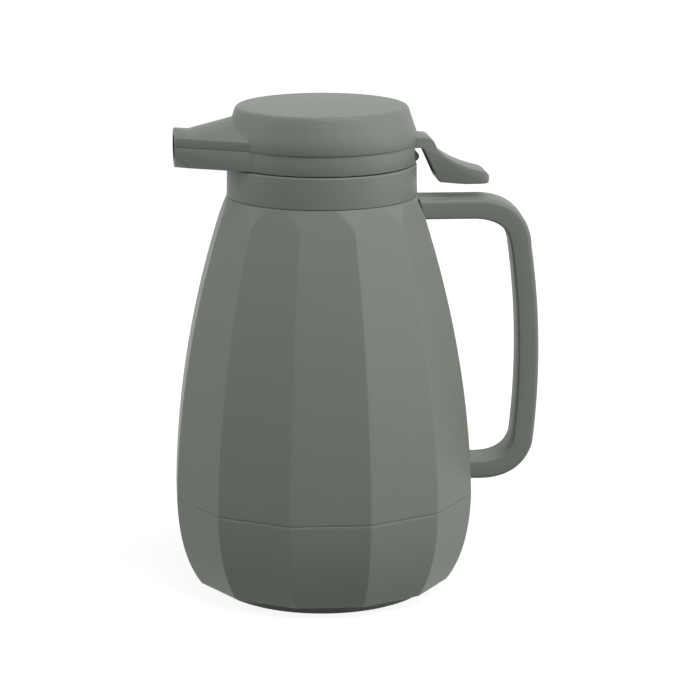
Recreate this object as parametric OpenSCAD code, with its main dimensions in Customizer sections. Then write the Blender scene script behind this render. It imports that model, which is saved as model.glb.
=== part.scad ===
// Thermal carafe: a faceted plastic server round a double-walled glass flask.
// A screw lid in two shells carries a closed spout, and a thumb lever at its
// back lifts the pouring valve. The handle lies towards +X, the spout towards
// -X, and the origin is the middle of the foot. All sizes are millimetres.

/* [Body] */
// Number of flat sides round the body
facet_count = 12; // [8:2:12]
// Height of the base cup, from the table to the seam
base_h = 51.2; // [47:0.1:54]
// Height of the faceted shell, from the seam to the collar
shell_h = 150.1; // [146:0.1:160]
// Corner radius at the seam, the widest place
belly_r = 76.1; // [75:0.1:82]
// Corner radius that the facets reach under the collar
shoulder_corner_r = 48.5; // [48.4:0.1:50]
// How far the middle of the side leans in under the straight line
side_lean = 1.5; // [0:0.1:2.5]
// Radius of the round shoulder under the collar
shoulder_r = 46.9; // [46.8:0.1:47.6]
// Inward run of the round shoulder for each millimetre of height
shoulder_slope = 0.49; // [0.45:0.01:0.6]
// Wall of the shell and the base cup
wall = 2.4; // [1.8:0.1:2.8]

/* [Base] */
// Corner radius at the lower edge of the facets
bottom_corner_r = 63.7; // [60:0.1:66]
// Height of the lower edge of the facets
bottom_edge_h = 6.5; // [6:0.5:9]
// Radius of the round foot rim
foot_r = 52.5; // [48:0.5:56]
// How far the pad stands out below the foot rim
pad_proud = 0.8; // [0.5:0.1:1.5]
// Thickness of the non-slip pad
pad_t = 2; // [1.5:0.1:2.5]
// Height of the base spigot inside the shell
spigot_h = 5.5; // [4:0.5:6]

/* [Flask] */
// Air gap between the flask's shoulder and the shell
flask_air_gap = 3.9; // [3.4:0.1:9]
// Glass thickness of liner and jacket
glass_t = 1.6; // [1.2:0.1:2]
// Width of the vacuum between liner and jacket
vacuum_gap = 3.8; // [3:0.1:4]
// Inner radius of the flask's neck
neck_bore_r = 33; // [32.8:0.1:33.6]
// Height of the flask's bottom above the table
flask_bottom_h = 15; // [14:0.5:18]
// Height of the evacuation tip under the jacket
seal_tip_h = 5; // [3:0.5:6]

/* [Collar] */
// Outer radius of the smooth neck collar
collar_r = 47.1; // [46.6:0.1:47.4]
// Height of the collar band
collar_h = 15.6; // [14:0.2:18]
// Inner radius of the collar's screw socket
socket_r = 41; // [40.4:0.1:41.6]
// Depth of the screw socket
socket_depth = 6.5; // [5.5:0.1:7.5]
// Thickness of the collar's inner flange
flange_t = 2.7; // [2:0.1:3.2]

/* [Lid] */
// Outer radius of the lid base
lid_r = 46.1; // [45.6:0.1:46.3]
// Height of the lid base band
lid_base_h = 9.9; // [9:0.1:12]
// Outer radius of the lid cap band
cap_r = 46.7; // [46.4:0.1:47.2]
// Height of the lid cap
cap_h = 18.3; // [17:0.2:22]
// Height of the straight band at the foot of the cap
cap_band_h = 5.4; // [4.8:0.1:6.5]
// Radius where the cone of the cap ends
cap_cone_r = 42.9; // [41:0.1:44]
// Wall of the lid shells
lid_wall = 2.2; // [1.8:0.1:2.6]
// Outer radius of the plug that enters the flask's neck
plug_r = 31.5; // [30.5:0.1:31.7]
// Length of the plug below the lid base
plug_h = 22.5; // [20:0.5:26]
// Turn of the lid out of the handle's plane, in degrees
lid_yaw = 3; // [0:0.2:4]

/* [Spout] */
// Distance of the spout's mouth from the middle
spout_reach = 73; // [66:0.2:82]
// Outer radius of the mouth
mouth_r = 9.75; // [8.5:0.05:10]
// Radius of the opening in the mouth
mouth_bore_r = 6.6; // [6:0.1:7.6]
// Height of the mouth's middle below the lid seam
mouth_drop = 1.5; // [1.2:0.1:2.3]
// Half width of the spout where it leaves the lid
spout_root_w = 27.6; // [24:0.2:29]
// Wall of the spout
spout_wall = 1.75; // [1.4:0.05:2.2]
// Rise of the spout's ridge above the lid seam where it meets the cap
ridge_rise = 13; // [12:0.1:14]

/* [Lever] */
// Width of the thumb lever
lever_w = 22; // [16:0.5:22]
// Distance of the lever's tip from the middle
lever_reach = 82.5; // [76:0.5:90]
// Drop of the lever's underside below its pin
lever_drop = 20.9; // [18:0.1:21]
// Skin of the hollow lever
lever_skin = 2.2; // [1.6:0.1:2.6]
// Distance of the pin from the middle
pin_x = 40; // [38.5:0.1:40.2]
// Radius of the pin
pin_r = 1.5; // [1.2:0.05:1.7]
// Greatest press of the lever, in degrees
press_angle = 8.5; // [6:0.1:8.5]

/* [Valve] */
// Radius of the port in the plug's floor
port_r = 11; // [9:0.2:12]
// Radius of the valve stem
stem_r = 2.5; // [2:0.1:2.8]
// Radius of the spring, to the middle of its wire
spring_r = 5.4; // [5:0.1:6.5]
// Radius of the spring wire
spring_wire_r = 0.5; // [0.4:0.05:0.6]
// Number of turns of the spring
spring_turns = 4.5; // [3:0.5:5]

/* [Handle] */
// Width of the handle
handle_w = 23; // [18:0.5:24]
// Outer reach of the handle's grip from the middle
handle_reach = 107.4; // [102:0.1:116]
// Height of the upper arm's middle below the collar seam
upper_arm_drop = 6.65; // [6.2:0.05:9]
// Height of the lower arm's middle above the base seam
lower_arm_rise = 10.45; // [10:0.05:14]
// Thickness of the upper arm
upper_arm_t = 10; // [7.5:0.1:10.4]
// Thickness of the grip
grip_t = 10.2; // [9:0.1:12]
// Thickness of the lower arm
lower_arm_t = 9.5; // [8.5:0.1:10.5]
// Wall of the hollow handle
handle_wall = 2.2; // [1.8:0.1:2.6]
// Thickness of the cover strip on the finger side
cover_t = 1.8; // [1.4:0.1:2.2]

/* [Fits] */
// Clearance between fixed pieces that seat in each other
fit = 0.1; // [0.05:0.05:0.2]
// Running clearance of the pin and the stem, on the radius
running = 0.05; // [0.03:0.01:0.08]
// Free gap between pieces that move past each other
free_gap = 0.5; // [0.4:0.05:0.7]

/* [Hidden] */
$fn = 96;
HULL_FN = 32;
BIG = 300;
EPS = 0.01;

sage = [0.50, 0.53, 0.49];
glass_tint = [0.80, 0.84, 0.84];
rubber_grey = [0.25, 0.26, 0.26];
steel = [0.75, 0.76, 0.77];
natural = [0.86, 0.86, 0.82];

// Heights of the main planes
seam_z = base_h;
shell_top_z = seam_z + shell_h;
collar_top_z = shell_top_z + collar_h;
lid_z = collar_top_z + free_gap;
lid_seam_z = lid_z + lid_base_h;
cap_top_z = lid_seam_z + cap_h;
floor_z = pad_t + wall;

// Facet geometry: a corner radius times this is the distance to the flat side
flat_share = cos(180 / facet_count);
wall_at_corner = wall / flat_share;
profile_steps = 14;

// Curve of the base, by its middle control point
base_turn_r = belly_r - 0.9;
base_turn_z = seam_z - 29.5;

// Collar, its spigot in the shell's mouth, and the snap bead under it
shell_mouth_r = socket_r + 1;
collar_spigot_r = shell_mouth_r - fit;
neck_room_r = neck_bore_r + 2 * glass_t + 2.4;
bead = 0.7;
collar_draft = 0.3;
collar_foot_z = shell_top_z - wall - 3.8;
socket_floor_z = collar_top_z - socket_depth;
flange_z = socket_floor_z - flange_t;
flange_bore_r = neck_bore_r + 0.6;

// Flask: liner and jacket share one neck, closed by the liner's rolled lip
rim_gasket_t = 0.8;
gasket_skirt_h = 7;
lip_z = flange_z - rim_gasket_t;
lip_t = glass_t;
neck_gap = 0.8;
jacket_neck_r = neck_bore_r + 2 * glass_t + neck_gap;
flask_shoulder_drop = 62;
flask_neck_drop = 21;
flask_neck_curve = 12;
flask_shoulder_z = shell_top_z - flask_shoulder_drop;
flask_neck_z = shell_top_z - flask_neck_drop;
dome_h = 24;

// Cushion under the flask
cushion_in_r = 20;
cushion_out_r = 34;
cushion_rib_r = cushion_out_r + 3;

// Spigot of the base cup in the shell's lower end
spigot_out_r = belly_r * flat_share - wall - 1.5;
spigot_t = wall;
spigot_band_h = 4;
snap_bead = 0.35;
shell_socket_h = spigot_h + 1.5;

// Handle, in the plane y = 0: middle line and thickness
upper_arm_z = shell_top_z - upper_arm_drop;
lower_arm_z = seam_z + lower_arm_rise;
arm_screw_r = 1.5;
arm_head_r = 2.75;
arm_head_h = 2;
boss_r = 4.5;
boss_lip = 0.5;
arm_block_l = 10;
screw_end_gap = 2;
bend_steps = 9;
grip_steps = 11;
edge_out_r = 2.4;
edge_in_r = 1.2;
channel_w = handle_w / 2 - handle_wall;
ledge_w = 1.2;
seat_share = 0.35;
hollow_share = 0.65;

// Lid
lid_floor_z = lid_z + lid_wall;
thread_r = socket_r - free_gap;
thread_t = 2.2;
gasket_t = 1.5;
thread_foot_z = socket_floor_z + gasket_t;
plug_in_r = plug_r - lid_wall;
plug_foot_z = lid_z - plug_h;
seat_z = plug_foot_z + lid_wall;
seal_groove = 1;
seal_h = 3;
seal_z = plug_foot_z + 5;
cap_round = 1.6;
cap_crown = 0.3;
cap_rise = cap_h - cap_round;
lid_screw_r = 1.3;
lid_screw_head_r = 2.5;
lid_screw_head_h = 1.8;
lid_screw_l = 10;
lid_screw_ring_r = (plug_r + thread_r - thread_t) / 2;
lid_screw_angles = [55, 125, 235, 305];
post_r = 3;
dam_h = 4.9;
dam_front_x = -15;
nub_r = 2.3;
nub_w = 12;
nub_proud = 1.6;

// Spout, in steps from the mouth to the lid's wall
spout_root_x = -(sqrt(lid_r * lid_r - spout_root_w * spout_root_w) + 0.8);
spout_bend_x = spout_root_x - 0.79 * (spout_reach + spout_root_x);
spout_side_rise = 4.4;
spout_flat_top = 7.6;
roof_steps = 8;
ridge_x = -(cap_r - (cap_r - cap_cone_r) * (ridge_rise - cap_band_h) / (cap_rise - cap_band_h));
mouth_z = lid_seam_z - mouth_drop;

// Lever, its pin and the ears that hold the pin
pin_z = lid_seam_z;
barrel_r = 3;
root_t = 5.1;
root_low = 2.5;
arm_w = 12.4;
arm_t = 3;
fork_gap = 2 * (stem_r + 0.7);
fork_x = 4;
nose_r = 2.2;
ear_t = 2.8;
ear_gap = free_gap;
ear_l = 6;
pin_half_l = lever_w / 2 + ear_gap + ear_t;
slot_side = free_gap;
slot_low = root_low + (lid_r - pin_x) * sin(press_angle) + 0.8 * free_gap;
slot_high = root_t - root_low + 1.2 * free_gap;

// Valve
seal_disc_r = port_r + 3;
seal_disc_t = 1.6;
seat_gap = 0.05;
disc_t = 2.4;
disc_z = seat_z + seal_disc_t;
hub_r = 7;
hub_z = seat_z + 17.2;
hub_top_z = hub_z + 7;
rib_t = 3;
rib_z = hub_z + 1;
rib_h = 4;
clip_z = pin_z + nose_r + 0.3;
clip_t = 1.6;
clip_r = 6.5;
stem_foot_r = 5;
stem_foot_h = 1.4;
stem_top_z = clip_z + clip_t + 3;
neck_r = stem_r - 0.6;
coil_sides = 8;
coil_steps = 14;

// Points of a curve from a to c, bent towards b
function curve(a, b, c, n) =
    [for (i = [0:n]) let (t = i / n)
        (1 - t) * (1 - t) * a + 2 * t * (1 - t) * b + t * t * c];

// Corner radius of the faceted shell at a height
function shell_corner_r(z) =
    let (t = (z - seam_z) / shell_h)
    (1 - t) * (1 - t) * belly_r + 2 * t * (1 - t) * (belly_r - side_lean)
        + t * t * shoulder_corner_r;

// Distance from the axis to the flat side of the shell at a height
function shell_flat_r(z) = shell_corner_r(z) * flat_share;

// Lean of the flat side from upright at a height, in degrees
function shell_lean(z) = atan((shell_flat_r(z - 1) - shell_flat_r(z + 1)) / 2);

// A solid with flat sides, one of them square to +X
module faceted(profile) {
    rotate([0, 0, 180 / facet_count])
        rotate_extrude($fn = facet_count)
            polygon(profile);
}

// The flask keeps an air gap to the shell at the height of its shoulder
jacket_r = shell_flat_r(flask_shoulder_z) - wall - flask_air_gap;
liner_r = jacket_r - vacuum_gap - 2 * glass_t;

module ring(r_out, r_in, z, h) {
    translate([0, 0, z])
        difference() {
            cylinder(r = r_out, h = h);
            translate([0, 0, -1])
                cylinder(r = r_in, h = h + 2);
        }
}

// Shell outline between two heights, moved in by an inset at the corners
function shell_profile(inset, z0, z1) =
    concat(
        [[0, z0]],
        [for (i = [0:profile_steps])
            let (z = z0 + (z1 - z0) * i / profile_steps)
            [shell_corner_r(z) - inset, z]],
        [[0, z1]]);

// The round shoulder, as a cone that trims the facets into arches
module shoulder_cone(inset) {
    cone_h = shell_h / 2;
    translate([0, 0, shell_top_z - cone_h])
        cylinder(
            r1 = shoulder_r - inset + shoulder_slope * cone_h,
            r2 = shoulder_r - inset,
            h = cone_h);
}

module shell_solid(inset, z0, z1) {
    mid_z = shell_top_z - shell_h / 2;
    intersection() {
        faceted(shell_profile(inset / flat_share, z0, z1));
        union() {
            shoulder_cone(inset);
            translate([0, 0, z0 - 1])
                cylinder(r = 2 * belly_r, h = mid_z - z0 + 1);
        }
    }
}

// Inner face of the boss for a handle screw
function boss_x(z) = shell_flat_r(z + boss_r) - wall - boss_lip;

module arm_boss(z) {
    intersection() {
        shell_solid(wall / 2, seam_z, shell_top_z);
        translate([boss_x(z), 0, z])
            rotate([0, 90, 0])
                rotate([0, 0, 35])
                    cylinder(r = boss_r, h = 3 * wall);
    }
}

// A bore from inside the body into the handle's block, short of its hollow
module arm_screw_bore(z, r) {
    translate([0, 0, z])
        rotate([0, 90, 0])
            cylinder(r = r, h = shell_flat_r(z) + arm_block_l - screw_end_gap);
}

module outer_shell() {
    color(sage)
        difference() {
            union() {
                difference() {
                    shell_solid(0, seam_z, shell_top_z);
                    shell_solid(wall, seam_z + shell_socket_h, shell_top_z - wall);
                    translate([0, 0, seam_z - 1])
                        cylinder(r = spigot_out_r + fit, h = shell_socket_h + 1 + EPS);
                    ring(
                        spigot_out_r + snap_bead + 2 * fit,
                        spigot_out_r - 1,
                        seam_z + spigot_h - 2.4,
                        1.6);
                    translate([0, 0, shell_top_z - wall - 1])
                        cylinder(r = shell_mouth_r, h = wall + 2);
                }
                arm_boss(upper_arm_z);
                arm_boss(lower_arm_z);
            }
            arm_screw_bore(upper_arm_z, arm_screw_r + fit);
            arm_screw_bore(lower_arm_z, arm_screw_r + fit);
        }
}

// Base cup outline, moved in at the corners and lifted off the underside
function base_profile(inset, low_z) =
    concat(
        [[0, low_z]],
        curve(
            [bottom_corner_r - inset, low_z],
            [base_turn_r - inset, base_turn_z],
            [belly_r - inset, seam_z],
            profile_steps),
        [[0, seam_z]]);

module base_cup() {
    rim_z = pad_proud;
    underside_drop = 0.9;
    color(sage)
        difference() {
            union() {
                difference() {
                    union() {
                        faceted(base_profile(0, bottom_edge_h));
                        // Shallow slope from the facets' lower edge to the foot
                        translate([0, 0, bottom_edge_h - underside_drop])
                            cylinder(
                                r1 = bottom_corner_r * flat_share - 2 * underside_drop,
                                r2 = bottom_corner_r * flat_share,
                                h = underside_drop + EPS);
                        translate([0, 0, rim_z])
                            cylinder(r1 = foot_r - 0.8, r2 = foot_r, h = 0.8);
                        translate([0, 0, rim_z + 0.8])
                            cylinder(r = foot_r, h = bottom_edge_h - rim_z);
                    }
                    difference() {
                        faceted(base_profile(wall_at_corner, bottom_edge_h + wall));
                        // Flange that carries the spigot
                        ring(2 * belly_r, spigot_out_r - spigot_t,
                            seam_z - spigot_band_h, spigot_band_h + 1);
                    }
                    // Deeper floor inside the foot
                    translate([0, 0, floor_z])
                        cylinder(r = foot_r - wall, h = bottom_edge_h);
                }
                ring(spigot_out_r, spigot_out_r - spigot_t,
                    seam_z - spigot_band_h, spigot_band_h + spigot_h);
                // Snap bead on the spigot
                translate([0, 0, seam_z + spigot_h - 2.1])
                    rotate_extrude()
                        polygon([
                            [spigot_out_r - 0.5, -0.2],
                            [spigot_out_r, -0.2],
                            [spigot_out_r + snap_bead, 0.3],
                            [spigot_out_r + snap_bead, 0.7],
                            [spigot_out_r, 1.2],
                            [spigot_out_r - 0.5, 1.2]]);
                // Rib that keeps the flask's cushion in place
                ring(cushion_rib_r, cushion_out_r + fit, floor_z - EPS, 5);
                for (a = [30:60:330])
                    rotate([0, 0, a])
                        translate([cushion_rib_r - 0.5, -wall / 2, floor_z - EPS])
                            cube([foot_r - wall - cushion_rib_r + 0.6, wall, 4]);
            }
            // Recess for the pad
            translate([0, 0, -1])
                cylinder(r = foot_r - wall, h = pad_t + 1);
        }
}

module foot_pad() {
    groove_w = 2;
    groove_depth = 0.4;
    color(rubber_grey)
        difference() {
            cylinder(r = foot_r - wall - 2 * fit, h = pad_t);
            // Two shallow grip grooves
            for (inset = [4, 9])
                ring(
                    foot_r - wall - inset,
                    foot_r - wall - inset - groove_w,
                    -1,
                    1 + groove_depth);
        }
}

module neck_collar() {
    edge = 0.6;
    color(sage)
        rotate_extrude()
            polygon([
                [neck_room_r, collar_foot_z],
                [collar_spigot_r - bead, collar_foot_z],
                [collar_spigot_r + bead, shell_top_z - wall - 1.6],
                [collar_spigot_r + bead, shell_top_z - wall - fit],
                [collar_spigot_r, shell_top_z - wall - fit],
                [collar_spigot_r, shell_top_z],
                [collar_r - edge, shell_top_z],
                [collar_r, shell_top_z + edge],
                [collar_r - collar_draft, collar_top_z - edge],
                [collar_r - collar_draft - edge, collar_top_z],
                [socket_r + edge, collar_top_z],
                [socket_r, collar_top_z - edge],
                [socket_r, socket_floor_z],
                [flange_bore_r, socket_floor_z],
                [flange_bore_r, flange_z],
                [neck_room_r, flange_z]]);
}

// Half outline of the flask: domed foot, straight side, shoulder and neck
function flask_side(r, neck_r, foot_z, top_z) =
    concat(
        curve([0, foot_z], [r * 0.92, foot_z], [r, foot_z + dome_h], 10),
        curve([r, flask_shoulder_z], [r, flask_neck_z - flask_neck_curve], [neck_r, flask_neck_z], 10),
        [[neck_r, top_z]]);

module flask_form(r, neck_r, foot_z, top_z) {
    rotate_extrude()
        polygon(concat(flask_side(r, neck_r, foot_z, top_z), [[0, top_z]]));
}

liner_foot_z = flask_bottom_h + glass_t + vacuum_gap;

module flask_liner() {
    color(glass_tint)
        difference() {
            union() {
                flask_form(liner_r + glass_t, neck_bore_r + glass_t, liner_foot_z, lip_z);
                translate([0, 0, lip_z - lip_t])
                    cylinder(r = jacket_neck_r, h = lip_t);
            }
            flask_form(liner_r, neck_bore_r, liner_foot_z + glass_t, lip_z + 1);
        }
}

module flask_jacket() {
    color(glass_tint)
        difference() {
            union() {
                flask_form(jacket_r, jacket_neck_r, flask_bottom_h, lip_z - lip_t);
                translate([0, 0, flask_bottom_h - seal_tip_h])
                    cylinder(r1 = 1.2, r2 = 4, h = seal_tip_h + 1);
            }
            flask_form(
                jacket_r - glass_t,
                jacket_neck_r - glass_t,
                flask_bottom_h + glass_t,
                lip_z + 1);
        }
}

// Three pads that keep the liner off the jacket
module flask_spacers() {
    pad_ring_r = liner_r * 0.5;
    color(natural)
        intersection() {
            difference() {
                flask_form(
                    jacket_r - glass_t,
                    jacket_neck_r - glass_t,
                    flask_bottom_h + glass_t,
                    lip_z);
                flask_form(liner_r + glass_t, neck_bore_r + glass_t, liner_foot_z, lip_z + 1);
            }
            for (a = [60:120:300])
                rotate([0, 0, a])
                    translate([pad_ring_r, 0, 0])
                        cylinder(r = 4, h = seam_z);
        }
}

module flask_cushion() {
    color(rubber_grey)
        difference() {
            ring(cushion_out_r, cushion_in_r, floor_z, seam_z - floor_z - 20);
            translate([0, 0, -fit])
                flask_form(jacket_r, jacket_neck_r, flask_bottom_h, lip_z);
        }
}

module rim_gasket() {
    skirt_z = lip_z - gasket_skirt_h;
    color(rubber_grey)
        rotate_extrude()
            polygon([
                [flange_bore_r, lip_z],
                [jacket_neck_r + fit, lip_z],
                [jacket_neck_r + fit, skirt_z],
                [neck_room_r - fit, skirt_z],
                [neck_room_r - fit, flange_z],
                [flange_bore_r, flange_z]]);
}

// Middle line of the handle: each station is [x, z, thickness]
handle_mid_x = handle_reach - grip_t / 2;
handle_top_x = handle_mid_x - 3.7;
handle_low_x = handle_mid_x - 2.2;
grip_bow = 3.4;
upper_bend_h = 20.3;
lower_bend_h = 14.4;
grip_top_z = upper_arm_z - upper_bend_h;
grip_low_z = lower_arm_z + lower_bend_h;
grip_swell = 0.1;
grip_end_t = grip_t - grip_swell;
upper_bend_run = 23;
lower_bend_run = 22;
upper_pull = 1.4;
lower_pull = 4.2;
upper_bend_t = upper_arm_t + 1.7;
lower_bend_t = lower_arm_t + 0.7;
upper_bend_x = handle_top_x - upper_bend_run;
lower_bend_x = handle_low_x - lower_bend_run;

handle_bends = concat(
    curve(
        [upper_bend_x, upper_arm_z, upper_arm_t],
        [handle_top_x - upper_pull, upper_arm_z, upper_bend_t],
        [handle_top_x, grip_top_z, grip_end_t],
        bend_steps),
    [for (i = [1:grip_steps - 1])
        curve(
            [handle_top_x, grip_top_z, grip_end_t],
            [handle_mid_x + grip_bow, (grip_top_z + grip_low_z) / 2, grip_t + grip_swell],
            [handle_low_x, grip_low_z, grip_end_t + grip_swell],
            grip_steps)[i]],
    curve(
        [handle_low_x, grip_low_z, grip_end_t + grip_swell],
        [handle_low_x - lower_pull, lower_arm_z, lower_bend_t],
        [lower_bend_x, lower_arm_z, lower_arm_t],
        bend_steps));

// The whole line, from a gap off the body's flat side to the same gap below
function handle_line(gap) =
    concat(
        [[shell_flat_r(upper_arm_z) + gap, upper_arm_z, upper_arm_t]],
        handle_bends,
        [[shell_flat_r(lower_arm_z) + gap, lower_arm_z, lower_arm_t]]);

// A line inside the handle, which turns between the stations of the outside
function inner_line(gap, share) =
    concat(
        [[
            min(shell_flat_r(upper_arm_z) + gap, upper_bend_x - 1),
            upper_arm_z,
            upper_arm_t]],
        [for (i = [1:len(handle_bends) - 1])
            (1 - share) * handle_bends[i - 1] + share * handle_bends[i]],
        [[
            min(shell_flat_r(lower_arm_z) + gap, lower_bend_x - 1),
            lower_arm_z,
            lower_arm_t]]);

// Direction square to the line at a station, pointing outwards from the loop
function line_normal(line, i) =
    let (
        last = len(line) - 1,
        a = line[max(i - 1, 0)],
        b = line[min(i + 1, last)],
        d = [b[0] - a[0], b[1] - a[1]],
        l = norm(d))
    [-d[1] / l, d[0] / l];

// A section point is [y, side, depth]: depth is measured from the outer face
// where side is 1 and from the finger side where it is -1
function arc_points(y, depth, r, side, a0, a1) =
    [for (i = [0:4]) let (a = a0 + (a1 - a0) * i / 4)
        [y + r * cos(a), side, depth - side * r * sin(a)]];

bar_section = concat(
    arc_points(handle_w / 2 - edge_in_r, edge_in_r, edge_in_r, -1, -90, 0),
    arc_points(handle_w / 2 - edge_out_r, edge_out_r, edge_out_r, 1, 0, 90),
    arc_points(-handle_w / 2 + edge_out_r, edge_out_r, edge_out_r, 1, 90, 180),
    arc_points(-handle_w / 2 + edge_in_r, edge_in_r, edge_in_r, -1, 180, 270));

// Flat sections: the seat of the cover, the cover, and the hollow behind it
function strip_section(half_w, side_depth, low_depth) =
    [
        [-half_w, -1, low_depth],
        [half_w, -1, low_depth],
        [half_w, side_depth[0], side_depth[1]],
        [-half_w, side_depth[0], side_depth[1]]];

seat_section = strip_section(channel_w, [-1, cover_t], -1);
cover_section = strip_section(channel_w - fit, [-1, cover_t - fit], 0);
hollow_section = strip_section(channel_w - ledge_w, [1, handle_wall], cover_t - 0.5);

// Sweeps a section along a line. Its ends follow the lean of the body's side.
module along_line(line, section) {
    n = len(section);
    m = len(line);
    points = [
        for (i = [0:m - 1])
            let (
                s = line[i],
                normal = line_normal(line, i),
                lean = i == 0 || i == m - 1 ? tan(shell_lean(s[1])) : 0)
            for (p = section)
                let (v = p[1] * (s[2] / 2 - p[2]))
                [s[0] + normal[0] * v - lean * normal[1] * v, p[0], s[1] + normal[1] * v]];
    sides = [
        for (i = [0:m - 2])
            for (k = [0:n - 1])
                let (next = (k + 1) % n)
                [i * n + k, (i + 1) * n + k, (i + 1) * n + next, i * n + next]];
    // Each end is closed by strips from side to side
    first_end = [for (k = [0:n / 2 - 2]) [k, k + 1, n - 2 - k, n - 1 - k]];
    o = (m - 1) * n;
    last_end = [for (k = [0:n / 2 - 2]) [o + n - 1 - k, o + n - 2 - k, o + k + 1, o + k]];
    polyhedron(
        points = points,
        faces = concat(sides, first_end, last_end),
        convexity = 8);
}

module handle_shell() {
    color(sage)
        difference() {
            along_line(handle_line(fit), bar_section);
            along_line(inner_line(-2, seat_share), seat_section);
            // The hollow stops short of the screw blocks at both ends
            along_line(inner_line(arm_block_l, hollow_share), hollow_section);
            arm_screw_bore(upper_arm_z, arm_screw_r + fit / 2);
            arm_screw_bore(lower_arm_z, arm_screw_r + fit / 2);
        }
}

module handle_cover() {
    color(sage)
        along_line(inner_line(3 * fit, seat_share), cover_section);
}

module arm_screw(z) {
    translate([boss_x(z) - arm_head_h, 0, z])
        rotate([0, 90, 0]) {
            difference() {
                cylinder(r = arm_head_r, h = arm_head_h);
                translate([-arm_head_r, -0.35, -1])
                    cube([2 * arm_head_r, 0.7, 1.8]);
                translate([-0.35, -arm_head_r, -1])
                    cube([0.7, 2 * arm_head_r, 1.8]);
            }
            translate([0, 0, arm_head_h - EPS])
                cylinder(
                    r = arm_screw_r,
                    h = shell_flat_r(z) + arm_block_l - screw_end_gap - 0.5 - boss_x(z));
        }
}

module handle_screws() {
    color(steel) {
        arm_screw(upper_arm_z);
        arm_screw(lower_arm_z);
    }
}

module lid_gasket() {
    color(rubber_grey)
        ring(thread_r - 0.2, thread_r - thread_t, socket_floor_z, gasket_t);
}

// A cross slice of the spout at x, with its side and its ridge
// A slice across the spout: flat sides under a roof that rises in an arch
module spout_slice(x, half_w, low_z, side_z, top_z) {
    arch = [
        for (i = [0:roof_steps])
            let (t = 1 - 2 * i / roof_steps)
            [half_w * t, side_z + (top_z - side_z) * (1 - t * t)]];
    translate([x, 0, 0])
        rotate([90, 0, 90])
            linear_extrude(0.1)
                polygon(concat([[-half_w, low_z], [half_w, low_z]], arch));
}

module spout_mouth(x, r) {
    translate([x, 0, mouth_z])
        rotate([0, 90, 0])
            cylinder(r = r, h = 0.6, $fn = HULL_FN);
}

// Half width of the spout at x, on the straight line from mouth to root
function spout_half_w(x) =
    mouth_r + (spout_root_w - mouth_r) * (x + spout_reach) / (spout_root_x + spout_reach);

// The spout's form: inset 0 gives the outside, inset > 0 the channel, which
// runs out through the mouth. Both run on into the lid on the same planes.
module spout_form(inset) {
    out = inset > 0 ? 1 : 0;
    into = inset > 0 ? 6 : 2.5;
    low_z = lid_z + inset;
    side_z = lid_seam_z + spout_side_rise - inset;
    flat_z = lid_seam_z + spout_flat_top - inset;
    ridge_slope = (ridge_rise - spout_flat_top) / (ridge_x - spout_bend_x);
    hull() {
        spout_mouth(-spout_reach - out, inset > 0 ? mouth_bore_r : mouth_r);
        if (inset == 0)
            spout_slice(-spout_reach, mouth_r, mouth_z, side_z, flat_z);
        spout_slice(spout_bend_x, spout_half_w(spout_bend_x) - inset, low_z, side_z, flat_z);
    }
    hull() {
        spout_slice(spout_bend_x, spout_half_w(spout_bend_x) - inset, low_z, side_z, flat_z);
        spout_slice(ridge_x + into, spout_half_w(ridge_x) - inset,
            low_z, side_z, lid_seam_z + ridge_rise + into * ridge_slope - inset);
        spout_slice(spout_root_x + into, spout_half_w(spout_root_x + into) - inset,
            low_z, side_z, side_z + 0.4);
    }
}

// The lid and all it carries are turned a little out of the handle's plane
module in_lid() {
    rotate([0, 0, lid_yaw])
        children();
}

module below_seam() {
    translate([-BIG / 2, -BIG / 2, lid_seam_z - BIG])
        cube([BIG, BIG, BIG]);
}

module above_seam() {
    translate([-BIG / 2, -BIG / 2, lid_seam_z])
        cube([BIG, BIG, BIG]);
}

// Slot in the lid's wall for the lever's root
module lever_slot() {
    half_w = lever_w / 2 + slot_side;
    translate([pin_x, -half_w, pin_z - slot_low])
        cube([lid_r, 2 * half_w, slot_low + slot_high]);
}

module ears(z0, z1) {
    for (side = [-1, 1])
        translate([
            pin_x - ear_l / 2,
            side * (lever_w / 2 + ear_gap + ear_t / 2) - ear_t / 2,
            z0])
            cube([ear_l, ear_t, z1 - z0]);
}

module pin_bore(r) {
    translate([pin_x, BIG / 2, pin_z])
        rotate([90, 0, 0])
            cylinder(r = r, h = BIG);
}

module pin_seat() {
    intersection() {
        pin_bore(pin_r + fit / 2);
        translate([0, -pin_half_l - fit, 0])
            cube([BIG, 2 * (pin_half_l + fit), BIG]);
    }
}

module lid_screw_places() {
    for (a = lid_screw_angles)
        rotate([0, 0, a])
            translate([lid_screw_ring_r, 0, 0])
                children();
}

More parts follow.
